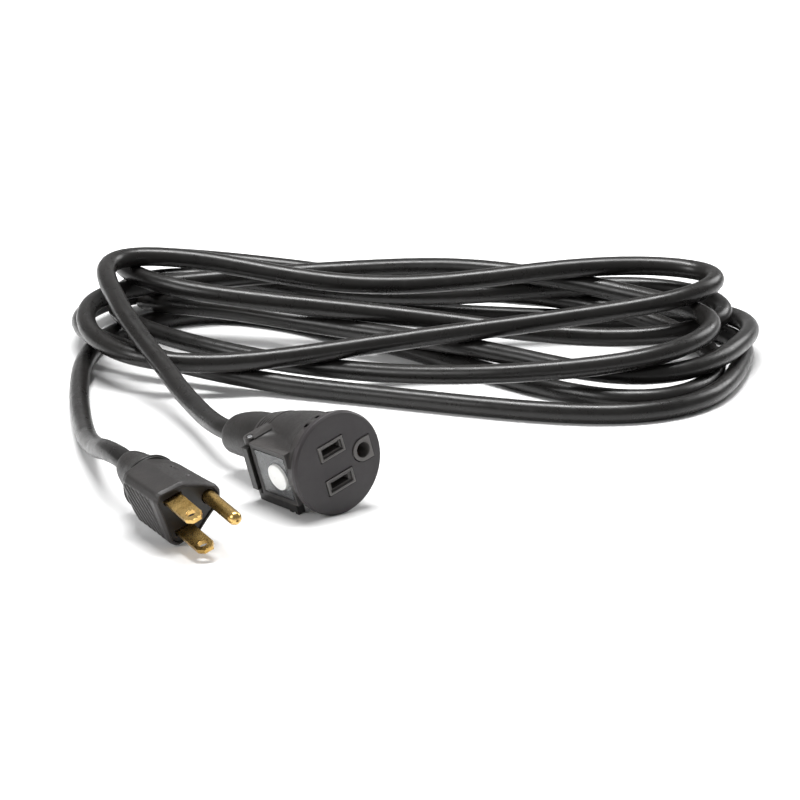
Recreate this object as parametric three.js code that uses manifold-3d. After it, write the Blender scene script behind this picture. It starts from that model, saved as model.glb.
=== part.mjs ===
// Shore power cord: a grounded plug, a lockable grounded connector and the cord between them.
// Units are millimetres, +Z is up. The origin is on the floor, midway between plug and connector.
import * as THREE from 'three';
import { mergeVertices } from 'three/addons/utils/BufferGeometryUtils.js';
import Module from 'manifold-3d';

const wasm = await Module();
wasm.setup();

// ---------------------------------------------------------------- driving dimensions
const GAP = 0.3; // clearance between pieces that touch
const THROUGH = -30; // a cut reaches this deep when it goes right through the carrier
const SIDES = 32; // facets of a round piece
const BLADE_PITCH = 12.7; // between the two flat blades, and between the two slots
const GROUND_OFFSET = 11.9; // from the blades' middle to the ground pin
const BLADE = { width: 6.35, thickness: 1.5, length: 17.5, hole: 1.7, holeAt: 13.4 };
const PIN = { radius: 2.4, length: 20.7 };
const CORD_RADIUS = 3.65;

// Placement of the two ends: turn about the vertical, tilt of the nose, roll about the axis.
const CONNECTOR = { at: [30.4, 0.4, 18.3], turn: 37.6, tilt: 2.5, roll: 16 };
const PLUG = { at: [-22.2, -33.5, 11.9], turn: 28.8, tilt: -5.5, roll: 22 };

const FLANGE = { radius: 18.2, thickness: 3 };
const SLOT_X = -1.3; // the slots' middle, left of the face's centre
const GROUND_X = SLOT_X + GROUND_OFFSET;
const SLOT = { halfX: 3.7, halfY: 1.1, roomX: 4, roomY: 2 }; // the slit and the wider room behind it
const GROUND_HOLE = { radius: 2.75, room: 3.3 };
const GROUND_ISLAND = 4.1; // half its width
const BODY_REAR = -38; // where the connector's body meets its strain relief
const RELIEF_LENGTH = 22;
const CARRIER = { plate: 14.8, plateDepth: 3, halfX: 13.2, halfY: 11, offset: 1.4, rear: -18 };
const BOSS = { outer: -16.2, floor: -13.2, halfHeight: 10, rear: -26.5, front: -6.3 };
const LUGS = [[8.3, 10.6], [-2.7, 2.7]]; // low and high end of each lug on the body
const KNUCKLES = [[3, 8], [-13.4, -3]]; // low and high end of each knuckle on the lever
const LEVER_PLATE = { low: -8.4, high: 7.8, thickness: 1.2 };
const TOP_SLOTS = { x: [-5, 0, 5], half: 0.9, bottom: 13.4, rear: -5.9, front: -4.3 };
const LAMP = { x: -14.3, reach: 3.2, z: -22.6, radius: 0.9 };
const WINDOW = { halfHeight: 8.1, thickness: 1 };
const BUTTON = { radius: 4.8, collar: 5.8, z: -13.4, face: -17.2 };
const LATCH = {
  pinX: -13.5, pinZ: -29.5, knuckle: 2.2, pin: 1, barBottom: -13.4, barTop: -10.4, front: -8.8, outer: -17.2,
};

const PLUG_BODY = 25;
const PLUG_MIDDLE = 4.5; // the face outline's middle, between the blades and the ground pin
const PLUG_REAR_SHIFT = 2; // the plug's rear end sits towards the ground pin
const BRIDGE_DEPTH = 8;
const BLADE_REAR = -11;
const PLUG_RELIEF_LENGTH = 17;

// ---------------------------------------------------------------- materials
const finish = (color, roughness, metalness = 0) =>
  new THREE.MeshStandardMaterial({ color, roughness, metalness });
const blackVinyl = finish(0x3a3636, 0.6);
const cordVinyl = finish(0x1c1b1a, 0.45);
const greyNylon = finish(0x6a6664, 0.5);
const clearPlastic = finish(0xcfd3d4, 0.1);
const whitePlastic = finish(0xf2f2f0, 0.35);
const brass = finish(0xb8923a, 0.35, 1);
const steel = finish(0x8d8f92, 0.35, 1);
const wire = { line: finish(0x141414, 0.5), neutral: finish(0xe6e6e2, 0.5), ground: finish(0x1f7a3a, 0.5) };

// ---------------------------------------------------------------- solid helpers
function toSolid(geometry) {
  const bare = new THREE.BufferGeometry();
  bare.setAttribute('position', geometry.getAttribute('position').clone());
  if (geometry.index) bare.setIndex(geometry.index.clone());
  const merged = mergeVertices(bare, 1e-4);
  return new wasm.Manifold(new wasm.Mesh({
    numProp: 3,
    vertProperties: new Float32Array(merged.getAttribute('position').array),
    triVerts: new Uint32Array(merged.index.array),
  }));
}

function toGeometry(solid) {
  const mesh = solid.getMesh();
  const geometry = new THREE.BufferGeometry();
  geometry.setAttribute('position', new THREE.BufferAttribute(mesh.vertProperties.slice(), 3));
  geometry.setIndex(new THREE.BufferAttribute(mesh.triVerts.slice(), 1));
  return geometry;
}

const join = (...shapes) => shapes.slice(1).reduce((sum, shape) => sum.add(shape), shapes[0]);
const cut = (shape, ...tools) => tools.reduce((rest, tool) => rest.subtract(tool), shape);

// A box given by its low and high corners.
function block(low, high) {
  const size = high.map((value, i) => value - low[i]);
  const middle = high.map((value, i) => (value + low[i]) / 2);
  return toSolid(new THREE.BoxGeometry(...size).translate(...middle));
}

// A round bar between two points.
function bar(radius, from, to, sides = SIDES) {
  const start = new THREE.Vector3(...from);
  const end = new THREE.Vector3(...to);
  const along = end.clone().sub(start);
  const geometry = new THREE.CylinderGeometry(radius, radius, along.length(), sides);
  const axis = new THREE.Vector3(0, 1, 0);
  const turn = new THREE.Quaternion().setFromUnitVectors(axis, along.clone().normalize());
  geometry.applyQuaternion(turn);
  geometry.translate(...start.add(end).multiplyScalar(0.5).toArray());
  return toSolid(geometry);
}

// A closed skin over rings that hold the same number of points, from the rear ring to the front one.
function loft(rings) {
  const count = rings[0].length;
  const points = rings.flat();
  const faces = [];
  for (let r = 0; r < rings.length - 1; r += 1) {
    for (let i = 0; i < count; i += 1) {
      const a = r * count + i;
      const b = r * count + ((i + 1) % count);
      faces.push(a, b, b + count, a, b + count, a + count);
    }
  }
  for (const [ring, front] of [[0, false], [rings.length - 1, true]]) {
    const middle = rings[ring].reduce((sum, p) => sum.map((v, k) => v + p[k] / count), [0, 0, 0]);
    points.push(middle);
    const hub = points.length - 1;
    for (let i = 0; i < count; i += 1) {
      const a = ring * count + i;
      const b = ring * count + ((i + 1) % count);
      faces.push(...(front ? [hub, a, b] : [hub, b, a]));
    }
  }
  const geometry = new THREE.BufferGeometry();
  geometry.setAttribute('position', new THREE.Float32BufferAttribute(points.flat(), 3));
  geometry.setIndex(faces);
  return toSolid(geometry);
}

// An ellipse at height z, with its middle moved along X.
function ellipse(z, halfX, halfY, offset = 0, sides = SIDES) {
  return Array.from({ length: sides }, (_, i) => {
    const angle = (2 * Math.PI * i) / sides;
    return [offset + halfX * Math.cos(angle), halfY * Math.sin(angle), z];
  });
}

// A flat outline pushed from z = low to z = high.
function prism(shape, low, high, curveSegments = 8) {
  const depth = high - low;
  const geometry = new THREE.ExtrudeGeometry(shape, { depth, bevelEnabled: false, curveSegments });
  return toSolid(geometry.translate(0, 0, low));
}

function addPart(group, name, solid, material) {
  const mesh = new THREE.Mesh(toGeometry(solid), material);
  mesh.name = name;
  group.add(mesh);
}

// A group whose local +Z points out of the nose and whose local +Y is up before the roll.
function placed({ at, turn, tilt, roll }, parent) {
  const rad = THREE.MathUtils.degToRad;
  const turned = new THREE.Group();
  turned.position.set(...at);
  turned.rotation.z = rad(turn);
  const tilted = new THREE.Group();
  tilted.rotation.x = rad(90 - tilt);
  const rolled = new THREE.Group();
  rolled.rotation.z = rad(roll);
  parent.add(turned);
  turned.add(tilted);
  tilted.add(rolled);
  return rolled;
}

const cord = new THREE.Group();
const connector = placed(CONNECTOR, cord);
const plug = placed(PLUG, cord);

// ---------------------------------------------------------------- connector: face and contact carrier
const slotRows = [BLADE_PITCH / 2, -BLADE_PITCH / 2];
const islandHalf = [[5.2, 2.8], [5.7, 2.8]];

// The ground island is round towards the slots and square on the far side.
function groundIsland(grow) {
  const shape = new THREE.Shape();
  const half = GROUND_ISLAND + grow;
  const far = GROUND_X + half - 0.5;
  shape.moveTo(far, half);
  shape.lineTo(GROUND_X, half);
  shape.absarc(GROUND_X, 0, half, Math.PI / 2, Math.PI * 1.5, false);
  shape.lineTo(far, -half);
  shape.closePath();
  return shape;
}

function connectorFace() {
  const edge = 0.7;
  const { radius, thickness } = FLANGE;
  const profile = [
    [0, -thickness], [radius - edge, -thickness], [radius, edge - thickness], [radius, -edge],
    [radius - edge, 0], [0, 0],
  ].map(([r, z]) => new THREE.Vector2(r, z));
  let disc = toSolid(new THREE.LatheGeometry(profile, 64).rotateX(Math.PI / 2));
  slotRows.forEach((y, i) => {
    const [halfX, halfY] = islandHalf[i].map((half) => half + GAP);
    disc = cut(disc, block([SLOT_X - halfX, y - halfY, -thickness - 1], [SLOT_X + halfX, y + halfY, 1]));
  });
  return cut(disc, prism(groundIsland(GAP), -thickness - 1, 1));
}

function contactCarrier() {
  const plateFront = -FLANGE.thickness - GAP;
  const plateRear = plateFront - CARRIER.plateDepth;
  const raised = 0.4;
  const recess = 0.9;
  const rim = 0.9;
  let carrier = join(
    bar(CARRIER.plate, [0, 0, plateRear], [0, 0, plateFront], 48),
    loft([
      ellipse(CARRIER.rear, CARRIER.halfX, CARRIER.halfY, CARRIER.offset),
      ellipse(plateRear + 0.5, CARRIER.halfX, CARRIER.halfY, CARRIER.offset),
    ]),
    prism(groundIsland(0), plateFront - 0.5, raised),
  );
  slotRows.forEach((y, i) => {
    const [halfX, halfY] = islandHalf[i];
    const island = block([SLOT_X - halfX, y - halfY, plateFront - 0.5], [SLOT_X + halfX, y + halfY, raised]);
    const inner = [halfX - rim, halfY - rim];
    const { roomX, roomY } = SLOT;
    carrier = cut(
      carrier.add(island),
      block([SLOT_X - inner[0], y - inner[1], raised - recess], [SLOT_X + inner[0], y + inner[1], 1]),
      block([SLOT_X - SLOT.halfX, y - SLOT.halfY, THROUGH], [SLOT_X + SLOT.halfX, y + SLOT.halfY, 1]),
      block([SLOT_X - roomX, y - roomY, THROUGH], [SLOT_X + roomX, y + roomY, plateRear + 1]),
    );
  });
  return cut(
    carrier,
    bar(GROUND_HOLE.radius, [GROUND_X, 0, THROUGH], [GROUND_X, 0, 1], 24),
    bar(GROUND_HOLE.room, [GROUND_X, 0, THROUGH], [GROUND_X, 0, plateRear + 1], 24),
  );
}

addPart(connector, 'connector_face', connectorFace(), blackVinyl);
addPart(connector, 'contact_carrier', contactCarrier(), greyNylon);

// ---------------------------------------------------------------- connector: contacts and conductors
const CONTACT_FRONT = -6.2;
const CONTACT_REAR = -19;
const CRIMP_REAR = -26;
const CRIMP_RADIUS = 1.5;
const CONDUCTOR_RADIUS = { connector: 1.3, plug: 1.2 };
const SLOT_CONTACT = { halfX: 3.4, leaf: 0.7, gap: 1.7 };
const GROUND_SLEEVE = { outer: 2.95, inner: 2.45, slit: 0.6, crimpShift: 1 };
const CONDUCTOR_GAP = 0.9; // the conductors lean, so their ends keep further away than a square end would

function slotContact(y) {
  const { halfX, leaf, gap } = SLOT_CONTACT;
  const half = gap / 2 + leaf;
  return cut(
    join(
      block([SLOT_X - halfX, y - half, CONTACT_REAR], [SLOT_X + halfX, y + half, CONTACT_FRONT]),
      bar(CRIMP_RADIUS, [SLOT_X, y, CRIMP_REAR], [SLOT_X, y, CONTACT_REAR + 0.5], 12),
    ),
    block([SLOT_X - halfX - 1, y - gap / 2, CONTACT_REAR + 1], [SLOT_X + halfX + 1, y + gap / 2, 0]),
  );
}

function groundContact() {
  const { outer, inner, slit, crimpShift } = GROUND_SLEEVE;
  const crimpX = GROUND_X - crimpShift;
  return cut(
    join(
      bar(outer, [GROUND_X, 0, CONTACT_REAR], [GROUND_X, 0, CONTACT_FRONT], 20),
      bar(CRIMP_RADIUS, [crimpX, 0, CRIMP_REAR], [crimpX, 0, CONTACT_REAR + 0.5], 12),
    ),
    bar(inner, [GROUND_X, 0, CONTACT_REAR + 1], [GROUND_X, 0, 0], 20),
    block([GROUND_X, -slit / 2, CONTACT_REAR + 2], [GROUND_X + outer + 1, slit / 2, 0]),
  );
}

addPart(connector, 'line_contact', slotContact(slotRows[1]), brass);
addPart(connector, 'neutral_contact', slotContact(slotRows[0]), brass);
addPart(connector, 'ground_contact', groundContact(), brass);

// Three insulated conductors run from the crimps and close up at the strain relief.
const conductorEnds = {
  line: [[SLOT_X, slotRows[1]], [-1.2, -1.9]],
  neutral: [[SLOT_X, slotRows[0]], [-1.2, 1.9]],
  ground: [[GROUND_X - GROUND_SLEEVE.crimpShift, 0], [2, 0]],
};
for (const [name, [from, to]] of Object.entries(conductorEnds)) {
  const crimpEnd = [...from, CRIMP_REAR - CONDUCTOR_GAP];
  const tail = bar(CONDUCTOR_RADIUS.connector, crimpEnd, [...to, BODY_REAR + CONDUCTOR_GAP], 12);
  addPart(connector, `connector_${name}_conductor`, tail, wire[name]);
}

// ---------------------------------------------------------------- connector: body with its lock housing
// Each section is [z, half width, half height, middle along X].
const bodySections = [
  [BODY_REAR, 9.6, 9.6, 0], [-33, 10.8, 10.8, 0.4], [-27, 12.6, 12.3, 1], [-20, 14.8, 13.3, 1.4],
  [-14, 15.6, 13.9, 1.2], [-8.5, 16.3, 15.4, 0.8], [-6.9, 16.8, 16.8, 0],
  [-FLANGE.thickness - GAP, 17.3, 17.3, 0],
];
const cavitySections = [
  [BODY_REAR - 1, 5, 4.8, 0.8], [-34, 6.8, 6, 1.2], [-27.5, 11, 9.5, 1.4], [-19, 13.2, 11, 1.4],
  [-18.2, 13.5, 11.3, 1.4], [-6.6, 13.5, 11.3, 1.4], [-6.59, 15.1, 15.1, 0], [0, 15.1, 15.1, 0],
];

function connectorBody() {
  const { pinX, pinZ, knuckle, pin } = LATCH;
  const boss = block([BOSS.outer, -BOSS.halfHeight, BOSS.rear], [-6, BOSS.halfHeight, BOSS.front]);
  const lug = (low, high) => join(
    block([pinX, low, pinZ - knuckle], [-4, high, pinZ + knuckle + 1]),
    bar(knuckle, [pinX, low, pinZ], [pinX, high, pinZ], 20),
  );
  let body = join(
    loft(bodySections.map((section) => ellipse(...section, 40))),
    boss,
    ...LUGS.map(([low, high]) => lug(low, high)),
  );
  body = cut(
    body,
    loft(cavitySections.map((section) => ellipse(...section, 32))),
    block([BOSS.outer - 1, -8.4, BOSS.rear + 1.6], [BOSS.floor, 8.4, BOSS.front - 1.2]),
    bar(pin + GAP, [pinX, -20, pinZ], [pinX, 20, pinZ], 16),
  );
  const { half, bottom, rear, front } = TOP_SLOTS;
  for (const x of TOP_SLOTS.x) {
    body = body.subtract(block([x - half, bottom, rear], [x + half, FLANGE.radius + 1, front]));
  }
  return body;
}

// Each relief section is [share of the length from the rear, radius].
const reliefSections = [[0, 6.6], [0.06, 7.2], [0.3, 8], [0.6, 8.7], [0.85, 9], [1, 8.8]];
const RELIEF_SAG = 2.5; // the soft neck sinks towards the floor by this much at its rear
const DOWN = [-0.275, -0.96]; // the floor's direction across the connector's axis

function connectorRelief() {
  const front = BODY_REAR - GAP;
  const length = RELIEF_LENGTH - GAP;
  const ring = ([share, radius]) => {
    const sag = RELIEF_SAG * (1 - share) ** 2;
    const level = ellipse(front - length * (1 - share), radius, radius, 0, 28);
    return level.map(([x, y, z]) => [x + sag * DOWN[0], y + sag * DOWN[1], z]);
  };
  return loft(reliefSections.map(ring));
}

addPart(connector, 'connector_body', connectorBody(), blackVinyl);
addPart(connector, 'connector_strain_relief', connectorRelief(), blackVinyl);

// ---------------------------------------------------------------- connector: window, button and latch
function lockWindow() {
  const { halfHeight, thickness } = WINDOW;
  const low = [BOSS.outer, -halfHeight, BOSS.rear + 1.9];
  const plate = block(low, [BOSS.outer + thickness, halfHeight, BOSS.front - 1.5]);
  return cut(plate, bar(BUTTON.radius + GAP, [-20, 0, BUTTON.z], [-10, 0, BUTTON.z], 32));
}

function releaseButton() {
  const back = BOSS.outer + WINDOW.thickness + GAP;
  const collar = 0.6;
  return join(
    bar(BUTTON.radius, [BUTTON.face, 0, BUTTON.z], [back + 0.1, 0, BUTTON.z], 32),
    cut(
      bar(BUTTON.collar, [back, 0, BUTTON.z], [back + collar, 0, BUTTON.z], 32),
      block([-20, -9, BOSS.front - 1.5], [-10, 9, 0]),
    ),
  );
}

function indicatorLamp() {
  const { x, reach, z, radius } = LAMP;
  return join(
    bar(radius, [x, reach, z], [x, -reach, z], 14),
    toSolid(new THREE.SphereGeometry(radius, 14, 10).translate(x, reach, z)),
  );
}

// The lever is a frame: an outer plate over two knuckles, and a bar under the housing that ends in two feet.
function latchLever() {
  const { pinX, pinZ, knuckle, pin, barBottom, barTop, front, outer } = LATCH;
  const barInner = pinX + 0.8;
  const plateRear = pinZ - LEVER_PLATE.thickness;
  const footDepth = 0.9;
  const footLength = 1.5;
  const pieces = [
    block([outer, LEVER_PLATE.low, plateRear], [outer + LEVER_PLATE.thickness, LEVER_PLATE.high, pinZ + 1.9]),
    block([pinX - knuckle, barBottom, pinZ], [barInner, barTop, front]),
  ];
  for (const [low, high] of KNUCKLES) {
    const webLow = Math.max(low, LEVER_PLATE.low);
    const webHigh = Math.min(high, LEVER_PLATE.high);
    pieces.push(bar(knuckle, [pinX, low, pinZ], [pinX, high, pinZ], 20));
    pieces.push(block([outer, webLow, plateRear], [pinX - 1.4, webHigh, pinZ + LEVER_PLATE.thickness]));
  }
  for (const foot of [front, front - 3.3]) {
    pieces.push(block([pinX - knuckle, barBottom - footDepth, foot - footLength], [barInner, barTop, foot]));
  }
  return cut(join(...pieces), bar(pin + GAP, [pinX, -20, pinZ], [pinX, 20, pinZ], 16));
}

addPart(connector, 'lock_window', lockWindow(), clearPlastic);
addPart(connector, 'release_button', releaseButton(), whitePlastic);
addPart(connector, 'indicator_lamp', indicatorLamp(), clearPlastic);
addPart(connector, 'latch_lever', latchLever(), blackVinyl);
addPart(connector, 'latch_pin',
  bar(LATCH.pin, [LATCH.pinX, LATCH.barBottom, LATCH.pinZ], [LATCH.pinX, LUGS[0][1], LATCH.pinZ], 16), steel);

// ---------------------------------------------------------------- plug: body, bridge, blades and pin
// Half of the face's outline, from the flat side round to the nose beside the ground pin.
const faceHalf = [[-6.6, 8.6], [-4.6, 11], [4.8, 10.4], [12.6, 5.6], [15.6, 2.9]];

// The outline at height z, grown outwards, scaled about its middle, moved along X and eased towards a circle.
function faceOutline(z, { grow = 0, scale = 1, shift = 0, round = 0, radius = 0 } = {}) {
  const all = [...faceHalf, [16.6, 0], ...faceHalf.map(([x, y]) => [x, -y]).reverse()].reverse();
  return all.map(([x, y]) => {
    const reach = Math.hypot(x - PLUG_MIDDLE, y);
    const wanted = (reach + grow) * scale * (1 - round) + radius * round;
    return [PLUG_MIDDLE + shift + ((x - PLUG_MIDDLE) * wanted) / reach, (y * wanted) / reach, z];
  });
}

const rearShift = PLUG_REAR_SHIFT - PLUG_MIDDLE;
const plugRearSection = { scale: 0.92, shift: rearShift * 0.85, round: 0.35, radius: 10 };
const POCKET_INSET = -1.4;

function plugBody() {
  const shell = loft([
    faceOutline(-PLUG_BODY, plugRearSection),
    faceOutline(-21.5, { scale: 0.94, shift: rearShift * 0.75, round: 0.05, radius: 10 }),
    faceOutline(-8, { scale: 0.97, shift: rearShift * 0.25 }),
    faceOutline(-1),
    faceOutline(0, { grow: -0.6 }),
  ]);
  const crimpRoom = block([-3.6, -8.4, BLADE_REAR - 2], [GROUND_OFFSET, 8.4, -BRIDGE_DEPTH]).intersect(
    loft([
      faceOutline(BLADE_REAR - 3, { grow: -1.4, scale: 0.86 }),
      faceOutline(-BRIDGE_DEPTH + 1, { grow: -1.4, scale: 0.94 }),
    ]),
  );
  return cut(
    shell,
    loft([faceOutline(-BRIDGE_DEPTH - GAP, { grow: POCKET_INSET }), faceOutline(1, { grow: POCKET_INSET })]),
    crimpRoom,
    bar(1.6, [GROUND_OFFSET, 0, BLADE_REAR - 0.5], [GROUND_OFFSET, 0, -BRIDGE_DEPTH], 16),
    loft([ellipse(-PLUG_BODY - 1, 4.6, 4.2, PLUG_REAR_SHIFT, 20), ellipse(-12.6, 6.6, 7.4, 2.6, 20)]),
  );
}

function plugBridge() {
  const inset = { grow: POCKET_INSET - GAP };
  let bridge = loft([faceOutline(-BRIDGE_DEPTH, inset), faceOutline(-0.6, inset)]);
  for (const y of slotRows) {
    const halfX = BLADE.width / 2 + GAP;
    const halfY = BLADE.thickness / 2 + GAP;
    bridge = bridge.subtract(block([-halfX, y - halfY, -10], [halfX, y + halfY, 1]));
  }
  return bridge.subtract(bar(PIN.radius + GAP, [GROUND_OFFSET, 0, -10], [GROUND_OFFSET, 0, 1], 24));
}

function blade(y) {
  const half = BLADE.width / 2;
  const tip = BLADE.length;
  const shape = new THREE.Shape();
  shape.moveTo(-half, BLADE_REAR);
  shape.lineTo(half, BLADE_REAR);
  shape.lineTo(half, tip - 2.4);
  shape.lineTo(half - 1.5, tip);
  shape.lineTo(1.5 - half, tip);
  shape.lineTo(-half, tip - 2.4);
  shape.closePath();
  const hole = new THREE.Path();
  hole.absarc(0, BLADE.holeAt, BLADE.hole, 0, 2 * Math.PI, false);
  shape.holes.push(hole);
  const depth = BLADE.thickness;
  const flat = new THREE.ExtrudeGeometry(shape, { depth, bevelEnabled: false, curveSegments: 10 });
  flat.translate(0, 0, -BLADE.thickness / 2);
  flat.rotateX(Math.PI / 2);
  flat.translate(0, y, 0);
  return toSolid(flat);
}

function groundPin() {
  const crimp = 1.2;
  const profile = [[0, BLADE_REAR], [crimp, BLADE_REAR], [crimp, -BRIDGE_DEPTH], [PIN.radius, -BRIDGE_DEPTH]];
  profile.push([PIN.radius, PIN.length - PIN.radius]);
  for (let step = 1; step < 5; step += 1) {
    const angle = (step * Math.PI) / 10;
    profile.push([PIN.radius * Math.cos(angle), PIN.length - PIN.radius + PIN.radius * Math.sin(angle)]);
  }
  profile.push([0, PIN.length]);
  const turned = new THREE.LatheGeometry(profile.map(([r, z]) => new THREE.Vector2(r, z)), 24);
  return toSolid(turned.rotateX(Math.PI / 2).translate(GROUND_OFFSET, 0, 0));
}

addPart(plug, 'plug_body', plugBody(), blackVinyl);
addPart(plug, 'plug_bridge', plugBridge(), greyNylon);
addPart(plug, 'line_blade', blade(slotRows[0]), brass);
addPart(plug, 'neutral_blade', blade(slotRows[1]), brass);
addPart(plug, 'ground_pin', groundPin(), brass);

const plugConductors = {
  line: [[0.4, slotRows[0] - 0.9], [0.7, 1.8]],
  neutral: [[0.4, slotRows[1] + 0.9], [0.7, -1.8]],
  ground: [[GROUND_OFFSET - 4.4, 0], [3.9, 0]],
};
for (const [name, [from, to]] of Object.entries(plugConductors)) {
  const crimpEnd = [...from, BLADE_REAR - CONDUCTOR_GAP];
  const tail = bar(CONDUCTOR_RADIUS.plug, crimpEnd, [...to, -PLUG_BODY + CONDUCTOR_GAP], 12);
  addPart(plug, `plug_${name}_conductor`, tail, wire[name]);
}

// The relief flares from a round neck to a thin raised ring behind the body.
function plugRelief() {
  const front = -PLUG_BODY - GAP;
  const rear = -PLUG_BODY - PLUG_RELIEF_LENGTH;
  const rounded = (z, radius) => faceOutline(z, { shift: rearShift, round: 1, radius });
  return loft([
    rounded(rear, 5.3),
    rounded(rear + 3.5, 6.3),
    rounded(rear + 9, 7.4),
    rounded(rear + 14, 9),
    rounded(rear + 15.6, 9.5),
    rounded(rear + 15.8, 10),
    rounded(rear + 16.4, 10),
    rounded(front, 9.6),
  ]);
}

addPart(plug, 'plug_strain_relief', plugRelief(), blackVinyl);

// ---------------------------------------------------------------- the cord: coil and the two leads
// The coil is a flat, loose pile on the floor. Its outline runs round the outermost turns.
const COIL_HEIGHT = 28; // most of the pile's height; single crossings of the cord stand a little higher
const coilOutline = [
  [-70, 192], [-66, 168], [-47, 156], [-21, 144], [29, 127], [74, 107], [114, 97], [152, 106],
  [178, 139], [187, 178], [178, 207], [129, 232], [29, 251], [-26, 255], [-56, 243], [-70, 218],
];
const coilOpening = { middle: [7, 192], halfX: 27, halfY: 11 };

function coilSolid(grow) {
  const curve = new THREE.CatmullRomCurve3(coilOutline.map(([x, y]) => new THREE.Vector3(x, y, 0)), true);
  const edge = curve.getSpacedPoints(48).slice(0, 48);
  const shape = new THREE.Shape(edge.map((p, i) => {
    const ahead = edge[(i + 1) % edge.length].clone().sub(edge[(i + 47) % edge.length]).normalize();
    return new THREE.Vector2(p.x + ahead.y * grow, p.y - ahead.x * grow);
  }));
  const { middle, halfX, halfY } = coilOpening;
  const opening = new THREE.Path();
  opening.absellipse(...middle, halfX, halfY, 0, 2 * Math.PI, false);
  if (grow === 0) shape.holes.push(opening);
  return prism(shape, grow === 0 ? 0 : -1, COIL_HEIGHT + grow, 6);
}

// The leads' routes, from each strain relief to the side of the coil.
const connectorRoute = [
  [-6.5, 48.3, 13.3], [-11, 55.5, 12.6], [-16.4, 70, 10.8], [-22, 87, 9.6], [-28, 103, 10],
  [-34, 118, 12], [-40.4, 131, 14.6], [-47, 144, 17.4], [-53, 157, 20],
];
const plugRoute = [
  [-40.9, 4.4, 16.7], [-44.3, 10.6, 17.2], [-49.5, 23, 15.4], [-54.5, 42, 10.2], [-59, 64, 6],
  [-62.5, 88, 4], [-65, 110, 3.7], [-66.5, 130, 3.7], [-67.2, 150, 3.7], [-66.4, 168, 3.7],
];

function leadTube(route, steps) {
  const points = route.map((point) => new THREE.Vector3(...point));
  const path = new THREE.CatmullRomCurve3(points, false, 'centripetal');
  const section = new THREE.Shape(Array.from({ length: 10 }, (_, i) => {
    const angle = (2 * Math.PI * i) / 10;
    return new THREE.Vector2(CORD_RADIUS * Math.cos(angle), CORD_RADIUS * Math.sin(angle));
  }));
  const tube = toSolid(new THREE.ExtrudeGeometry(section, { steps, extrudePath: path }));
  return tube.subtract(coilSolid(GAP));
}

addPart(cord, 'cord_coil', coilSolid(0), cordVinyl);
addPart(cord, 'connector_lead', leadTube(connectorRoute, 16), cordVinyl);
addPart(cord, 'plug_lead', leadTube(plugRoute, 20), cordVinyl);

export default cord;
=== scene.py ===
"""Shore power cord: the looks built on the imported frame. Metres, +Z up."""
import math

import bmesh
import bpy
import numpy as np
from mathutils import Matrix, Vector


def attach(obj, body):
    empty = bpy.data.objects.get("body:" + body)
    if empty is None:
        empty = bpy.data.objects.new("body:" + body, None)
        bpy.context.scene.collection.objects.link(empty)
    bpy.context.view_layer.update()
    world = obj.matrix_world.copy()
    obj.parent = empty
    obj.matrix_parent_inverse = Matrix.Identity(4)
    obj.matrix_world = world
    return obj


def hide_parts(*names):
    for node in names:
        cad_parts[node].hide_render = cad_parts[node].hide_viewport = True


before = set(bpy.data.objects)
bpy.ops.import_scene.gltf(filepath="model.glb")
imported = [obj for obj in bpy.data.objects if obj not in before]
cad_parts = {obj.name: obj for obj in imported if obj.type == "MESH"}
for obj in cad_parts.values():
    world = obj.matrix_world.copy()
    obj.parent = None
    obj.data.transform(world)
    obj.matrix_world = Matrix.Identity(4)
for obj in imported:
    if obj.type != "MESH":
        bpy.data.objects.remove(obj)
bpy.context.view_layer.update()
MM = 0.001

# ------------------------------------------------------------------ camera
AIM = Vector((0.0511, 0.1264, 0.0))
DISTANCE = 1.7
ELEVATION = math.radians(18)
LENS = 209
SENSOR_WIDTH = 36
CLIP_END = 20

camera_data = bpy.data.cameras.new("camera")
camera_data.lens = LENS
camera_data.sensor_width = SENSOR_WIDTH
camera_data.clip_end = CLIP_END
camera = bpy.data.objects.new("camera", camera_data)
bpy.context.collection.objects.link(camera)
camera.location = AIM + DISTANCE * Vector((0, -math.cos(ELEVATION), math.sin(ELEVATION)))
camera.rotation_euler = (math.pi / 2 - ELEVATION, 0, 0)
bpy.context.scene.camera = camera

# ------------------------------------------------------------------ the cord's route, in millimetres
CORD_D = 7.3
STEP = CORD_D / 2
ON_FLOOR = 3.7

CONNECTOR_LEAD = [
    (-6.5, 48.3, 13.3), (-11, 55.5, 12.6), (-16.4, 70, 10.8), (-22, 87, 9.6), (-28, 103, 10),
    (-34, 118, 12), (-40.4, 131, 14.6), (-47, 144, 17.4), (-53, 157, 20),
]
PLUG_LEAD = [
    (-40.9, 4.4, 16.7), (-44.3, 10.6, 17.2), (-49.5, 23, 15.4), (-54.5, 42, 10.2), (-59, 64, 6),
    (-62.5, 88, 4), (-65, 110, ON_FLOOR), (-66.5, 130, ON_FLOOR), (-67.2, 150, ON_FLOOR),
    (-66.4, 168, ON_FLOOR),
]
COIL_TO_LEAD = [(-58, 200, 4), (-64, 185, ON_FLOOR)]

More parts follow.
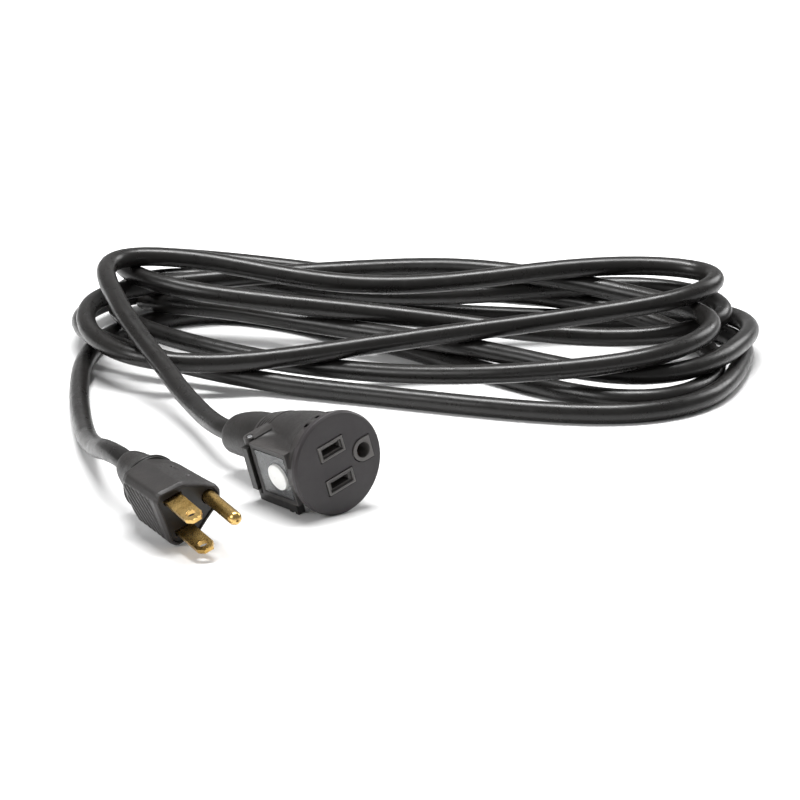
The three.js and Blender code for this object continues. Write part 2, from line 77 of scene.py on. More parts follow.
# Each turn goes back round the far side from the left end to the right end, then forward again.
# A side is: bow near its start, middle and end, roundness of its ends, heights at start, middle, end.
# The numbers were fitted to the real coil's strands, rounded, and then changed.
TURNS = [
    {"left": (-64, 187), "right": (171, 194),
     "back": (42, 6, 28, 0.82, 22, 19, 17), "front": (38, 38, 80, 0.8, 20, 17, 14)},
    {"left": (-65, 180), "right": (168, 156),
     "back": (47, 58, 40, 0.78, 16, 17, 18), "front": (66, 56, 58, 0.85, 18, 10, 11)},
    {"left": (-54, 226), "right": (175, 190),
     "back": (48, 12, 36, 0.82, 11, 10, 13), "front": (32, 30, 50, 0.84, 14, 15, 17)},
    {"left": (-56, 228), "right": (179, 168),
     "back": (36, 44, 56, 0.82, 15, 7, 9), "front": (88, 34, 34, 0.78, 10, 10, 7)},
    {"left": (-48, 236), "right": (178, 160),
     "back": (36, 26, 68, 0.84, 5, 4, 4), "front": (98, 62, 62, 0.8, 4, 4, 4)},
    {"left": (-68, 202), "right": (166, 142),
     "back": (80, 62, 66, 0.8, 4, 5, 4), "front": (66, 8, -30, 0.86, 4, 4, 4)},
]
LAST_LEFT = (-40, 215)
SIDE_SAMPLES = 60
SPAN_SAMPLES = 12
# Samples dropped where a lead meets the coil, so that the join is free to ease.
DROPPED = {"lead_end": 2, "coil_start": 4, "coil_end": 6, "plug_lead_start": 1}
# Smoothing passes where the leads and the turns join.
JOIN_PASSES = 36


def side(start, end, bows, roundness, sign):
    """Plan of half a turn: a bowed half loop between the two ends."""
    phase = np.linspace(0, np.pi, SIDE_SAMPLES, endpoint=False)
    cosine = np.cos(phase)
    share = 0.5 * (1 - np.sign(cosine) * np.abs(cosine) ** roundness)
    out = np.sin(phase) ** roundness
    start = np.array(start, float)
    along = np.array(end, float) - start
    length = np.linalg.norm(along)
    along /= length
    across = np.array([-along[1], along[0]])
    across *= np.sign(across[1])
    bow = quadratic(share, bows)
    return start + np.outer(share * length, along) + np.outer(sign * out * bow, across)


def quadratic(share, values):
    """The parabola through three values at the start, middle and end."""
    first, middle, last = values
    at_start = first * (1 - share) * (1 - 2 * share)
    at_middle = middle * 4 * share * (1 - share)
    at_end = last * share * (2 * share - 1)
    return at_start + at_middle + at_end


def smooth(points, passes):
    """Draws each inner point towards its neighbours, pass after pass."""
    points = points.copy()
    for _ in range(passes):
        points[1:-1] += 0.25 * (points[:-2] + points[2:] - 2 * points[1:-1])
    return points


def between(knots, at, first, last, low, high):
    """The point between two others, as the knot value lies between theirs."""
    gap = knots[last] - knots[first]
    return (knots[last] - at) / gap * low + (at - knots[first]) / gap * high


def through(points):
    """A centripetal Catmull-Rom curve through the given points."""
    points = np.array(points, float)
    ends = np.vstack([2 * points[0] - points[1], points, 2 * points[-1] - points[-2]])
    made = []
    for i in range(1, len(ends) - 2):
        four = ends[i - 1:i + 3]
        knots = np.r_[0, np.cumsum(np.sqrt(np.linalg.norm(np.diff(four, axis=0), axis=1)))]
        for at in np.linspace(knots[1], knots[2], SPAN_SAMPLES, endpoint=False):
            three = [between(knots, at, k, k + 1, four[k], four[k + 1]) for k in range(3)]
            two = [between(knots, at, k, k + 2, three[k], three[k + 1]) for k in range(2)]
            made.append(between(knots, at, 1, 2, two[0], two[1]))
    made.append(points[-1])
    return np.array(made)


def evenly(points, step):
    """The same line with its points a step apart."""
    along = np.r_[0, np.cumsum(np.linalg.norm(np.diff(points, axis=0), axis=1))]
    where = np.linspace(0, along[-1], int(along[-1] / step) + 1)
    return np.array([np.interp(where, along, points[:, k]) for k in range(3)]).T


def free_share(count, held_at_start, held_at_end, ramp):
    """0 along the held stretches at both ends of the cord, rising to 1 between them over a ramp."""
    index = np.arange(count)
    from_start = np.clip((index - held_at_start) / ramp, 0, 1)
    return from_start * np.clip((count - held_at_end - index) / ramp, 0, 1)


def laid_route():
    """Both leads and six loose turns, before the turns are laid on each other."""
    coil = []
    for number, turn in enumerate(TURNS):
        follows = TURNS[number + 1]["left"] if number + 1 < len(TURNS) else LAST_LEFT
        for values, start, end, sign in (
            (turn["back"], turn["left"], turn["right"], 1),
            (turn["front"], turn["right"], follows, -1),
        ):
            plan = side(start, end, values[:3], values[3], sign)
            share = np.linspace(0, 1, SIDE_SAMPLES, endpoint=False)
            coil.append(np.column_stack([plan, quadratic(share, values[4:])]))
    coil = np.vstack(coil)
    route = evenly(np.vstack([
        through(CONNECTOR_LEAD)[:-DROPPED["lead_end"]],
        coil[DROPPED["coil_start"]:-DROPPED["coil_end"]],
        COIL_TO_LEAD,
        through(PLUG_LEAD)[::-1][DROPPED["plug_lead_start"]:],
    ]), STEP)
    free = free_share(len(route), held_at_start=18, held_at_end=26, ramp=20)
    eased = smooth(2 * route - smooth(route, JOIN_PASSES), JOIN_PASSES)
    return route + (eased - route) * free[:, None]


SETTLE_PASSES = 190
STILL_PASSES = 40
DROP_A_PASS = 0.02
PASSES_A_SEARCH = 4
SEARCH_REACH = CORD_D * 1.35
NEAREST_ALONG = 8
CLEARANCE = 0.1
FLOOR_PUSH = 0.8
PUSH_SPREAD = 8


def settled(route):
    """Lays the turns on the floor and on each other. A push where two stretches meet is spread along the
    cord, as its stiffness would."""
    count = len(route)
    free = free_share(count, held_at_start=19, held_at_end=28, ramp=25)
    reach = np.arange(-3 * PUSH_SPREAD, 3 * PUSH_SPREAD + 1)
    kernel = np.exp(-reach * reach / (2 * PUSH_SPREAD * PUSH_SPREAD))
    moved = np.zeros_like(route)
    place = route.copy()
    for number in range(SETTLE_PASSES):
        if number % PASSES_A_SEARCH == 0:
            near = ((place[:, None] - place[None]) ** 2).sum(2) < SEARCH_REACH ** 2
            one, two = np.where(np.triu(near, NEAREST_ALONG))
        gap = place[one] - place[two]
        apart = np.linalg.norm(gap, axis=1) + 1e-9
        lapped = CORD_D + CLEARANCE - apart
        hit = lapped > 0
        push = np.zeros_like(place)
        hits = np.zeros(count)
        change = gap[hit] / apart[hit, None] * (0.5 * lapped[hit])[:, None]
        np.add.at(push, one[hit], change)
        np.add.at(push, two[hit], -change)
        np.add.at(hits, one[hit], 1)
        np.add.at(hits, two[hit], 1)
        push /= np.maximum(hits, 1)[:, None]
        sunk = np.maximum(0, CORD_D / 2 - place[:, 2])
        push[:, 2] += FLOOR_PUSH * sunk
        active = ((hits > 0) | (sunk > 0)).astype(float)
        total = np.maximum(np.convolve(active, kernel, "same"), 1.0)
        pushed = np.stack([np.convolve(push[:, k], kernel, "same") for k in range(3)], 1) / total[:, None]
        moved += pushed * free[:, None]
        if number < SETTLE_PASSES - STILL_PASSES:
            moved[:, 2] -= DROP_A_PASS * free
        moved = smooth(moved, 2)
        place = route + moved
    return place


# ------------------------------------------------------------------ node materials
def nodes_of(name):
    """A new node material, its tree and its shader."""
    material = bpy.data.materials.new(name)
    material.use_nodes = True
    tree = material.node_tree
    shader = tree.nodes["Principled BSDF"]
    return material, tree, shader


def noise_at(tree, coordinates, scale, detail=3.0, rough=0.55):
    """Noise over the piece, with scale features to the metre."""
    made = tree.nodes.new("ShaderNodeTexNoise")
    made.inputs["Scale"].default_value = scale
    made.inputs["Detail"].default_value = detail
    made.inputs["Roughness"].default_value = rough
    tree.links.new(coordinates, made.inputs["Vector"])
    return made.outputs["Fac"]


def mapped(tree, value, low, high, start=0.3, end=0.7):
    """The value's stretch from start to end, carried to low and high."""
    made = tree.nodes.new("ShaderNodeMapRange")
    made.inputs["From Min"].default_value = start
    made.inputs["From Max"].default_value = end
    made.inputs["To Min"].default_value = low
    made.inputs["To Max"].default_value = high
    tree.links.new(value, made.inputs["Value"])
    return made.outputs["Result"]


def mixed(tree, share, one, two):
    """A blend from one colour to another. Each is a tuple or another node's output."""
    made = tree.nodes.new("ShaderNodeMix")
    made.data_type = "RGBA"
    tree.links.new(share, made.inputs[0])
    for socket, colour in ((made.inputs[6], one), (made.inputs[7], two)):
        if isinstance(colour, tuple):
            socket.default_value = (*colour, 1)
        else:
            tree.links.new(colour, socket)
    return made.outputs[2]


def bumped(tree, heights, edge=0.0):
    """A bump chain over (height, strength, distance), on edges rounded by a small radius."""
    normal = None
    if edge:
        rounded = tree.nodes.new("ShaderNodeBevel")
        rounded.samples = 6
        rounded.inputs["Radius"].default_value = edge
        normal = rounded.outputs["Normal"]
    for height, strength, distance in heights:
        made = tree.nodes.new("ShaderNodeBump")
        made.inputs["Strength"].default_value = strength
        made.inputs["Distance"].default_value = distance
        tree.links.new(height, made.inputs["Height"])
        if normal is not None:
            tree.links.new(normal, made.inputs["Normal"])
        normal = made.outputs["Normal"]
    return normal


def moulded(name, dark, light, rough, grain=0.35, edge=0.00025, gloss=0.34, edge_highlight=0.0):
    """Moulded plastic: slow colour drift, a fine matte grain, and paler edges that are a painted highlight.
    """
    material, tree, shader = nodes_of(name)
    place = tree.nodes.new("ShaderNodeTexCoord").outputs["Object"]
    drift = noise_at(tree, place, scale=90, detail=4)
    fine = noise_at(tree, place, scale=5200, detail=2)
    middling = noise_at(tree, place, scale=900, detail=3)
    colour = mixed(tree, mapped(tree, drift, 0, 1), dark, light)
    # Paler colour where the surface is pointy, on sharp edges: a painted highlight.
    if edge_highlight:
        pointed = tree.nodes.new("ShaderNodeNewGeometry").outputs["Pointiness"]
        edge_highlight_mask = mapped(tree, pointed, 0, edge_highlight, start=0.51, end=0.6)
        highlight_colour = tuple(min(1.0, channel * 2.2 + 0.02) for channel in light)
        colour = mixed(tree, edge_highlight_mask, colour, highlight_colour)
    tree.links.new(colour, shader.inputs["Base Color"])
    tree.links.new(mapped(tree, middling, rough - 0.05, rough + 0.07), shader.inputs["Roughness"])
    normal = bumped(tree, [(fine, grain, 0.00006), (middling, grain * 0.6, 0.0001)], edge)
    tree.links.new(normal, shader.inputs["Normal"])
    shader.inputs["Specular IOR Level"].default_value = gloss
    return material


def metal(name, dark, light, rough, edge=0.0002):
    """Stamped metal: fine level streaks, and tarnish in patches."""
    material, tree, shader = nodes_of(name)
    place = tree.nodes.new("ShaderNodeTexCoord").outputs["Object"]
    stretched = tree.nodes.new("ShaderNodeMapping")
    stretched.inputs["Scale"].default_value = (1, 1, 7)
    tree.links.new(place, stretched.inputs["Vector"])
    streak = noise_at(tree, stretched.outputs["Vector"], scale=1500, detail=3)
    patch = noise_at(tree, place, scale=160, detail=4)
    tree.links.new(mixed(tree, mapped(tree, patch, 0, 1), dark, light), shader.inputs["Base Color"])
    tree.links.new(mapped(tree, streak, rough - 0.06, rough + 0.1), shader.inputs["Roughness"])
    tree.links.new(bumped(tree, [(streak, 0.015, 0.00002)], edge), shader.inputs["Normal"])
    shader.inputs["Metallic"].default_value = 1
    return material


def jacket():
    """The cord's extruded jacket: satin black with long faint waves and a few dull scuffs."""
    material, tree, shader = nodes_of("cord_jacket")
    place = tree.nodes.new("ShaderNodeTexCoord").outputs["Object"]
    wave = noise_at(tree, place, scale=26, detail=2)
    scuff = noise_at(tree, place, scale=240, detail=5, rough=0.65)
    fine = noise_at(tree, place, scale=3200, detail=2)
    shade = mixed(tree, mapped(tree, wave, 0, 1), (0.0075, 0.007, 0.0066), (0.0135, 0.0125, 0.0118))
    scuffed = mapped(tree, scuff, 0, 0.5, start=0.62, end=0.78)
    colour = mixed(tree, scuffed, shade, (0.03, 0.0275, 0.0255))
    tree.links.new(colour, shader.inputs["Base Color"])
    tree.links.new(mapped(tree, scuff, 0.24, 0.38), shader.inputs["Roughness"])
    normal = bumped(tree, [(wave, 0.5, 0.002), (scuff, 0.1, 0.0003), (fine, 0.12, 0.00004)])
    tree.links.new(normal, shader.inputs["Normal"])
    shader.inputs["Specular IOR Level"].default_value = 0.36
    return material


def clear(name, tint, rough):
    """Clear moulded plastic with faint flow marks in its surface, and paler patches in its colour that are
    painted highlight streaks.
    """
    material, tree, shader = nodes_of(name)
    place = tree.nodes.new("ShaderNodeTexCoord").outputs["Object"]
    flow_marks_and_glints = noise_at(tree, place, scale=420, detail=3)
    # The paler colour in the patches is a painted highlight; the bumps and roughness are flow marks.
    colour = mixed(tree, mapped(tree, flow_marks_and_glints, 0, 1), tint, (0.6, 0.61, 0.62))
    tree.links.new(colour, shader.inputs["Base Color"])
    tree.links.new(mapped(tree, flow_marks_and_glints, rough, rough + 0.08), shader.inputs["Roughness"])
    tree.links.new(bumped(tree, [(flow_marks_and_glints, 0.35, 0.0002)], 0.0003), shader.inputs["Normal"])
    shader.inputs["Transmission Weight"].default_value = 0.97
    shader.inputs["IOR"].default_value = 1.49
    return material


VINYL = moulded("black_vinyl_skin", (0.02, 0.0185, 0.018), (0.03, 0.0275, 0.0265), 0.4, edge_highlight=0.35)
FACE = moulded("face_vinyl_skin", (0.027, 0.0235, 0.025), (0.037, 0.033, 0.0345), 0.42, edge_highlight=0.3)
RELIEF = moulded("relief_vinyl_skin", (0.015, 0.014, 0.0135), (0.023, 0.021, 0.02), 0.42, grain=0.45)
NYLON = moulded("grey_nylon_skin", (0.062, 0.058, 0.056), (0.085, 0.08, 0.077), 0.42, edge_highlight=0.4)
LEVER = moulded("lever_skin", (0.012, 0.0115, 0.011), (0.02, 0.019, 0.018), 0.34)
WHITE = moulded("white_plastic_skin", (0.82, 0.82, 0.8), (0.9, 0.9, 0.88), 0.32, grain=0.15, gloss=0.5)
BRASS = metal("brass_skin", (0.4, 0.25, 0.07), (0.66, 0.45, 0.17), 0.27)
STEEL = metal("steel_skin", (0.45, 0.45, 0.46), (0.62, 0.62, 0.64), 0.3)
CLEAR = clear("clear_plastic_skin", (0.4, 0.42, 0.43), 0.03)
JACKET = jacket()
WIRES = {
    "line": moulded("black_wire_skin", (0.015, 0.015, 0.015), (0.03, 0.03, 0.03), 0.4, grain=0.1),
    "neutral": moulded("white_wire_skin", (0.72, 0.72, 0.7), (0.84, 0.84, 0.82), 0.4, grain=0.1),
    "ground": moulded("green_wire_skin", (0.02, 0.2, 0.06), (0.03, 0.28, 0.09), 0.4, grain=0.1),
}


# ------------------------------------------------------------------ the cord
def lay_cord():
    """The whole cord as one curve, with the line it follows and its length."""
    route = settled(laid_route()) * MM
    curve = bpy.data.curves.new("power_cord", "CURVE")
    curve.dimensions = "3D"
    curve.bevel_depth = CORD_D / 2 * MM
    curve.bevel_resolution = 6
    curve.use_fill_caps = True
    spline = curve.splines.new("POLY")
    spline.points.add(len(route) - 1)
    spline.points.foreach_set("co", np.column_stack([route, np.ones(len(route))]).ravel())
    spline.use_smooth = True
    curve.materials.append(JACKET)
    made = bpy.data.objects.new("power_cord", curve)
    bpy.context.collection.objects.link(made)
    length = float(np.linalg.norm(np.diff(route, axis=0), axis=1).sum())
    return made, route, length


power_cord, cord_line, cord_length = lay_cord()
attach(power_cord, "cord_set")
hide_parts("cord_coil", "connector_lead", "plug_lead")


# ------------------------------------------------------------------ places of the two ends
def placed(at, turn, tilt, roll):
    """Local millimetres to the row frame in metres: +Z out of the nose, +Y up before the roll."""
    return (
        Matrix.Scale(MM, 4) @ Matrix.Translation(at) @ Matrix.Rotation(math.radians(turn), 4, "Z")
        @ Matrix.Rotation(math.radians(90 - tilt), 4, "X") @ Matrix.Rotation(math.radians(roll), 4, "Z")
    )


CONNECTOR = placed((30.4, 0.4, 18.3), turn=37.6, tilt=2.5, roll=16)
PLUG = placed((-22.2, -33.5, 11.9), turn=28.8, tilt=-5.5, roll=22)
# Across the plug, from the middle between its blades.
GROUND_OFFSET = 11.9
PLUG_MIDDLE = 4.5
REAR_SHIFT = -2.5
# Along each end from its nose: the rear of the connector's body, of the plug's body and of its neck.
BODY_REAR = -38.0
PLUG_REAR = -25.0
RELIEF_REAR = -42.0


# ------------------------------------------------------------------ mesh helpers
WELD = 2e-6
FLAT = math.radians(0.5)


def finished(name, mesh, material, body, hides=(), sharp=32):
    """A piece made from a mesh, smooth but for its sharp edges, that rides on a body and hides nodes."""
    mesh.materials.append(material)
    for face in mesh.polygons:
        face.use_smooth = True
    mesh.set_sharp_from_angle(angle=math.radians(sharp))
    made = bpy.data.objects.new(name, mesh)
    bpy.context.collection.objects.link(made)
    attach(made, body)
    if hides:
        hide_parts(*hides)
    return made


def refined(node, material, body="cord_set", edge=0.0, sharp=32):
    """The CAD piece's own shape, welded, cleaned and given rounded edges."""
    mesh = bpy.data.meshes.new(node + "_skin")
    work = bmesh.new()
    work.from_mesh(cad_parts[node].data)
    bmesh.ops.remove_doubles(work, verts=work.verts, dist=WELD)
    bmesh.ops.dissolve_limit(work, angle_limit=FLAT, verts=work.verts, edges=work.edges)
    work.to_mesh(mesh)
    work.free()
    made = finished(node + "_skin", mesh, material, body, (node,), sharp)
    if edge:
        bevel = made.modifiers.new("edges", "BEVEL")
        bevel.width = edge
        bevel.segments = 3
        bevel.limit_method = "ANGLE"
        bevel.angle_limit = math.radians(sharp)
        bevel.harden_normals = True
    return made


def ring_mesh(rings, matrix):
    """A skin through rings of equal count in local millimetres, with its ends closed."""
    mesh = bpy.data.meshes.new("rings")
    work = bmesh.new()
    rows = [[work.verts.new(matrix @ Vector(point)) for point in ring] for ring in rings]
    for low, high in zip(rows, rows[1:]):
        for i in range(len(low)):
            j = (i + 1) % len(low)
            work.faces.new((low[i], low[j], high[j], high[i]))
    work.faces.new(list(reversed(rows[0])))
    work.faces.new(rows[-1])
    bmesh.ops.recalc_face_normals(work, faces=work.faces)
    work.to_mesh(mesh)
    work.free()
    return mesh


def circle(z, radius, count=72):
    """A level ring of points about the axis."""
    angles = [2 * math.pi * i / count for i in range(count)]
    return [(radius * math.cos(angle), radius * math.sin(angle), z) for angle in angles]


def eased_between(stations, steps):
    """Smooth values through (place, value) stations."""
    places, values = np.array(stations, float).T
    fine = np.linspace(places[0], places[-1], steps)
    raw = np.interp(fine, places, values)
    soft = raw.copy()
    for _ in range(6):
        soft[1:-1] = 0.5 * soft[1:-1] + 0.25 * (soft[:-2] + soft[2:])
    return list(zip(fine, soft))


# ------------------------------------------------------------------ connector
SLEEVE_REAR = BODY_REAR - 22
SLEEVE_LENGTH = 21.7
SLEEVE_SAG = 2.5
SLEEVE_DOWN = Vector((-0.275, -0.96, 0))


def connector_relief():
    """The sleeve over the cord: a rolled lip at the rear, a soft flare, and a neck that sinks a little."""
    lip = [(0.35, 3.7), (0.1, 4.6), (-0.02, 5.6), (0.02, 6.2)]
    flare = eased_between([(0, 6.5), (1.3, 7.2), (6.5, 8), (13, 8.7), (18.5, 9), (21.4, 8.8)], 44)
    inside_body = [(21.68, 8.4), (SLEEVE_LENGTH, 6)]
    shape = lip + [(0.25 + z * 0.985, radius) for z, radius in flare] + inside_body
    rings = []
    for z, radius in shape:
        sag = SLEEVE_DOWN * float(SLEEVE_SAG * (1 - z / SLEEVE_LENGTH) ** 2)
        rings.append([(x + sag.x, y + sag.y, level) for x, y, level in circle(SLEEVE_REAR + z, radius)])
    mesh = ring_mesh(rings, CONNECTOR)
    return finished("connector_strain_relief_skin", mesh, RELIEF, "cord_set",
                    ("connector_strain_relief",), 40)


RIBS = 5
RIB_FIRST = -36.4
RIB_PITCH = 1.5
RIB_LIFT = 0.32
RIB_STEPS = 28
RIB_START_DEG = 20
RIB_SWEEP_DEG = 140
# Across one rib: distance along the body, and share of its full lift. The feet are sunk in the body.
RIB_SECTION = [(-0.5, -0.6), (-0.25, 0.8), (0, 1.0), (0.25, 0.8), (0.5, -0.6)]
RIB_FOOT_DEPTH = 0.12
# The body's radius at its rear, and how it widens, shifts and flattens over its first stretch.
NECK_RADIUS = 9.7
NECK_STRETCH = 11
NECK_WIDENS = 2.75
NECK_SHIFTS = 1
NECK_FLATTENS = 0.15


def grip_ribs():
    """Low raised ribs over the top of the connector's body, at its rear."""
    mesh = bpy.data.meshes.new("ribs")
    work = bmesh.new()
    for number in range(RIBS):
        z = RIB_FIRST + number * RIB_PITCH
        share = (z - BODY_REAR) / NECK_STRETCH
        reach = NECK_RADIUS + NECK_WIDENS * share
        rows = []
        for step in range(RIB_STEPS + 1):
            angle = math.radians(RIB_START_DEG + step * RIB_SWEEP_DEG / RIB_STEPS)
            lift = RIB_LIFT * math.sin(math.pi * step / RIB_STEPS) ** 0.4
            row = []
            for dz, raised in RIB_SECTION:
                radius = reach + lift * raised - (RIB_FOOT_DEPTH if raised < 0 else 0)
                x = NECK_SHIFTS * share + radius * math.cos(angle)
                y = (radius - NECK_FLATTENS * share) * math.sin(angle)
                row.append(work.verts.new(CONNECTOR @ Vector((x, y, z + dz))))
            rows.append(row)
        for one, two in zip(rows, rows[1:]):
            for k in range(len(RIB_SECTION) - 1):
                work.faces.new((one[k], one[k + 1], two[k + 1], two[k]))
    bmesh.ops.recalc_face_normals(work, faces=work.faces)
    work.to_mesh(mesh)
    work.free()
    return finished("connector_grip_ribs", mesh, VINYL, "cord_set", (), 50)


refined("connector_face", FACE, edge=0.00022)
refined("contact_carrier", NYLON)
refined("connector_body", VINYL)
connector_relief()
grip_ribs()
refined("lock_window", CLEAR, edge=0.0002)
refined("release_button", WHITE, "button", edge=0.0003)
refined("indicator_lamp", CLEAR)
refined("latch_lever", LEVER, "latch")
refined("latch_pin", STEEL, edge=0.0002)


# ------------------------------------------------------------------ plug
FACE_HALF = [(-6.6, 8.6), (-4.6, 11), (4.8, 10.4), (12.6, 5.6), (15.6, 2.9)]
FACE_TIP = (16.6, 0)
OUTLINE = FACE_HALF + [FACE_TIP] + [(x, -y) for x, y in reversed(FACE_HALF)]
AROUND = 320
ANGLES = 2 * np.pi * (np.arange(AROUND) + 0.5) / AROUND
CORNER_PASSES = 5


def face_reach():
    """The face outline's radius about its middle at even angles, with its corners slightly rounded."""
    reach = np.zeros(AROUND)
    corners = [(x - PLUG_MIDDLE, y) for x, y in OUTLINE]
    for i in range(AROUND):
        angle = 2 * math.pi * (i + 0.5) / AROUND
        dx, dy = math.cos(angle), math.sin(angle)
        for (ax, ay), (bx, by) in zip(corners, corners[1:] + corners[:1]):
            ex, ey = bx - ax, by - ay
            cross = dx * ey - dy * ex
            if abs(cross) < 1e-9:
                continue
            radius = (ax * ey - ay * ex) / cross
            along = (ax * dy - ay * dx) / cross
            if radius > 0 and -1e-6 <= along <= 1 + 1e-6:
                reach[i] = max(reach[i], radius)
    for _ in range(CORNER_PASSES):
        reach = 0.5 * reach + 0.25 * (np.roll(reach, 1) + np.roll(reach, -1))
    return reach


REACH = face_reach()


def plug_ring(z, grow=0.0, scale=1.0, shift=0.0, round_share=0.0, radius=0.0, lift=None):
    """A ring between the face's outline and a circle, by round_share, with its surface raised by lift."""
    wanted = (REACH + grow) * scale * (1 - round_share) + radius * round_share
    if lift is not None:
        wanted = wanted + lift
    return [
        (PLUG_MIDDLE + shift + reach * math.cos(angle), reach * math.sin(angle), z)
        for reach, angle in zip(wanted, ANGLES)
    ]


RIDGE_PITCH = 3.1
RIDGE_LIFT = 0.62
RIDGE_SLANT = 0.6
RIDGE_PANEL = {"half_width": 8.3, "rear": -22.8, "front": -4.2}
SLOT_MARK = {"x": 6.2, "z": -16.5, "half_length": 2.2, "depth": 0.6}
HOLE_MARK = {"x": 6.6, "z": -8.5, "depth": 0.5}


def ridge_lift(z):
    """Slanting ridges inside a plain border, on the flat panel away from the ground pin."""
    across = REACH * np.sin(ANGLES)
    panel = (np.cos(ANGLES) < 0) * np.clip((RIDGE_PANEL["half_width"] - np.abs(across)) / 0.6, 0, 1)
    along = np.clip((z - RIDGE_PANEL["rear"]) / 0.5, 0, 1) * np.clip((RIDGE_PANEL["front"] - z) / 0.5, 0, 1)
    phase = (z + RIDGE_SLANT * across) / RIDGE_PITCH
    return RIDGE_LIFT * panel * along * (np.clip(1.6 * np.cos(2 * np.pi * phase), -1, 1) * 0.5 + 0.1)


def small_marks(z):
    """A short slot and a pin hole moulded into the upper broad side, over the ground pin."""
    across = REACH * np.cos(ANGLES)
    upper = np.sin(ANGLES) > 0
    slot = upper * np.clip(1.6 - 2 * np.abs(across - SLOT_MARK["x"]), 0, 1)
    slot = slot * np.clip((SLOT_MARK["half_length"] - abs(z - SLOT_MARK["z"])) / 0.5, 0, 1)
    hole = upper * np.clip(1.8 - 2 * np.hypot(across - HOLE_MARK["x"], z - HOLE_MARK["z"]), 0, 1)
    return -SLOT_MARK["depth"] * slot - HOLE_MARK["depth"] * hole


# Place along the body, scale of the face's outline, share of the rear's shift, and roundness.
PLUG_SECTIONS = [
    (-25, 0.92, 0.85, 0.35), (-24, 0.93, 0.82, 0.2), (-21.5, 0.94, 0.75, 0.05), (-8, 0.97, 0.25, 0),
    (-1, 1, 0, 0),
]
REAR_RADIUS = 10.0


def plug_section(z):
    """What a ring of the body is made with at z, between the sections of the table."""
    places, *columns = np.array(PLUG_SECTIONS).T
    scale, shift, roundness = (np.interp(z, places, column) for column in columns)
    return {"scale": scale, "shift": REAR_SHIFT * shift, "round_share": roundness, "radius": REAR_RADIUS}


def plug_body():
    """The faceted body with its ridges and marks, a rounded rim, and the hollow behind it."""
    rear = plug_section(PLUG_REAR)
    rings = [plug_ring(PLUG_REAR, grow=-5, **rear), plug_ring(PLUG_REAR, grow=-0.5, **rear)]
    for z in np.linspace(PLUG_REAR + 0.2, -1.5, 150):
        rings.append(plug_ring(z, lift=ridge_lift(z) + small_marks(z), **plug_section(z)))
    rim = [(-1.35, 0.0), (-1.2, -0.08), (-0.25, -0.62), (-0.06, -0.78), (0, -0.95), (-0.02, -1.3)]
    hollow = [(-0.2, -1.42), (-0.6, -1.44), (-3.5, -1.46), (-3.6, -6)]
    rings += [plug_ring(z, grow=grow) for z, grow in rim + hollow]
    mesh = ring_mesh(rings, PLUG)
    return finished("plug_body_skin", mesh, VINYL, "cord_set", ("plug_body",), 28)


def plug_relief():
    """The round neck behind the plug: a rolled lip, a soft flare and a thin raised ring at the body."""
    lip = [(0.3, 3.72), (0.05, 4.5)]
    flare = eased_between([(0, 5.1), (0.8, 5.6), (3.5, 6.3), (9, 7.4), (14, 9), (15.5, 9.5)], 40)
    raised_ring = [(15.6, 9.7), (15.72, 9.95), (15.9, 10.08), (16.2, 10.08), (16.4, 9.95), (16.5, 9.7)]
    inside_body = [(16.6, 9.6), (16.98, 9.55), (16.99, 6)]
    rings = [
        plug_ring(RELIEF_REAR + z, shift=REAR_SHIFT, round_share=1.0, radius=radius)
        for z, radius in lip + flare + raised_ring + inside_body
    ]
    mesh = ring_mesh(rings, PLUG)
    return finished("plug_strain_relief_skin", mesh, RELIEF, "cord_set",
                    ("plug_strain_relief",), 34)


PIN_RADIUS = 2.4
PIN_LENGTH = 20.7
PIN_FACETS = 64
DOME_STEPS = 11
SEAM = {"at": math.pi * 1.32, "depth": 0.34, "width": 0.075, "ends": 19.6}


def ground_pin():
    """Folded sheet: a round pin with a seam down one side, a domed tip and a small dimple in it."""
    buried = [(-8.0, 1.2), (-8.0, 2.3), (-7.9, PIN_RADIUS)]
    shank = [(z, PIN_RADIUS) for z in np.linspace(-7, 17.4, 30)]
    quarter = [step * math.pi / 2 / DOME_STEPS for step in range(DOME_STEPS)]
    dome_start = PIN_LENGTH - PIN_RADIUS
    dome = [(dome_start + PIN_RADIUS * math.sin(turn), PIN_RADIUS * math.cos(turn)) for turn in quarter]
    dimple = [(20.66, 0.6), (20.45, 0.45), (20.2, 0.3)]
    rings = []
    for z, radius in buried + shank + dome + dimple:
        depth = SEAM["depth"] if z < SEAM["ends"] else 0
        ring = []
        for i in range(PIN_FACETS):
            angle = 2 * math.pi * i / PIN_FACETS
            off = (angle - SEAM["at"] + math.pi) % (2 * math.pi) - math.pi
            seam = depth * math.exp(-(off / SEAM["width"]) ** 2) * min(1.0, radius / 1.6)
            reach = radius - seam
            ring.append((GROUND_OFFSET + reach * math.cos(angle), reach * math.sin(angle), z))
        rings.append(ring)
    mesh = ring_mesh(rings, PLUG)
    return finished("ground_pin_skin", mesh, BRASS, "cord_set", ("ground_pin",), 50)


plug_pieces = [
    plug_body(),
    plug_relief(),
    ground_pin(),
    refined("plug_bridge", LEVER, edge=0.0002),
    refined("line_blade", BRASS, edge=0.00025),
    refined("neutral_blade", BRASS, edge=0.00025),
]


# ------------------------------------------------------------------ CAD pieces kept as they are
def painted(name, material):
    """Gives a CAD node its material and leaves its shape alone."""
    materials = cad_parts[name].data.materials
    materials.clear()
    materials.append(material)


for kind, wire in WIRES.items():
    for end in ("connector", "plug"):
        painted(f"{end}_{kind}_conductor", wire)
for name in ("line_contact", "neutral_contact", "ground_contact"):
    painted(name, BRASS)


# ------------------------------------------------------------------ floor and light
FLOOR_ACROSS = (-6.0, -2.0, 2.0, 6.0)
FLOOR_ALONG = (-4.0, -2.0, 0.0, 2.2)
BEND_RADIUS = 1.2
WALL_HEIGHT = 5.0


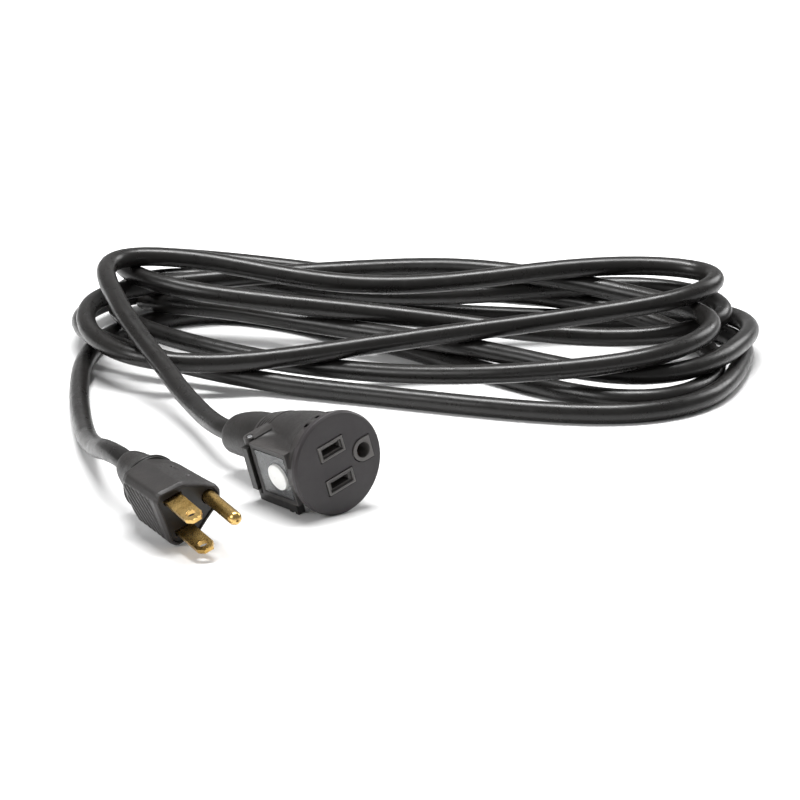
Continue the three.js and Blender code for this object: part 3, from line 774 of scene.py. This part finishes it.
def floor():
    """A pale glossy sweep: flat under the cord, curving up into a wall far behind it."""
    mesh = bpy.data.meshes.new("floor")
    work = bmesh.new()
    bend_start = FLOOR_ALONG[-1]
    profile = [(y, 0.0) for y in FLOOR_ALONG]
    for angle in np.linspace(0.1, math.pi / 2, 16):
        forward = math.sin(angle) * BEND_RADIUS
        up = BEND_RADIUS - math.cos(angle) * BEND_RADIUS
        profile.append((bend_start + forward, up))
    profile.append((bend_start + BEND_RADIUS, WALL_HEIGHT))
    rows = [[work.verts.new((x, y, z)) for x in FLOOR_ACROSS] for y, z in profile]
    for one, two in zip(rows, rows[1:]):
        for k in range(len(FLOOR_ACROSS) - 1):
            work.faces.new((one[k], one[k + 1], two[k + 1], two[k]))
    work.to_mesh(mesh)
    work.free()
    for face in mesh.polygons:
        face.use_smooth = True
    material, tree, shader = nodes_of("floor_gloss")
    place = tree.nodes.new("ShaderNodeTexCoord").outputs["Object"]
    drift = noise_at(tree, place, scale=3, detail=2)
    colour = mixed(tree, mapped(tree, drift, 0, 1), (0.9, 0.9, 0.9), (0.93, 0.93, 0.93))
    tree.links.new(colour, shader.inputs["Base Color"])
    tree.links.new(mapped(tree, drift, 0.16, 0.2), shader.inputs["Roughness"])
    shader.inputs["Specular IOR Level"].default_value = 0.35
    mesh.materials.append(material)
    made = bpy.data.objects.new("floor", mesh)
    bpy.context.collection.objects.link(made)


def soft_light(name, place, aim, size, power):
    """A white panel of light, size across and down in metres, turned towards a point."""
    data = bpy.data.lights.new(name, "AREA")
    data.shape = "RECTANGLE"
    data.size, data.size_y = size
    data.energy = power
    made = bpy.data.objects.new(name, data)
    bpy.context.collection.objects.link(made)
    made.location = place
    made.rotation_euler = (Vector(aim) - Vector(place)).to_track_quat("-Z", "Y").to_euler()


floor()
soft_light("overhead", (0.0, 0.35, 1.5), (0.05, 0.12, 0.0), (1.1, 0.45), 40)
soft_light("left_front", (-1.3, -0.9, 0.9), (0.0, 0.05, 0.02), (0.8, 0.8), 15)
soft_light("right_back", (1.3, 1.2, 0.9), (0.05, 0.15, 0.02), (0.8, 0.8), 12)
world = bpy.data.worlds.new("studio")
world.use_nodes = True
world.node_tree.nodes["Background"].inputs["Color"].default_value = (1, 1, 1, 1)
world.node_tree.nodes["Background"].inputs["Strength"].default_value = 0.3
bpy.context.scene.world = world
bpy.context.scene.view_settings.view_transform = "Standard"
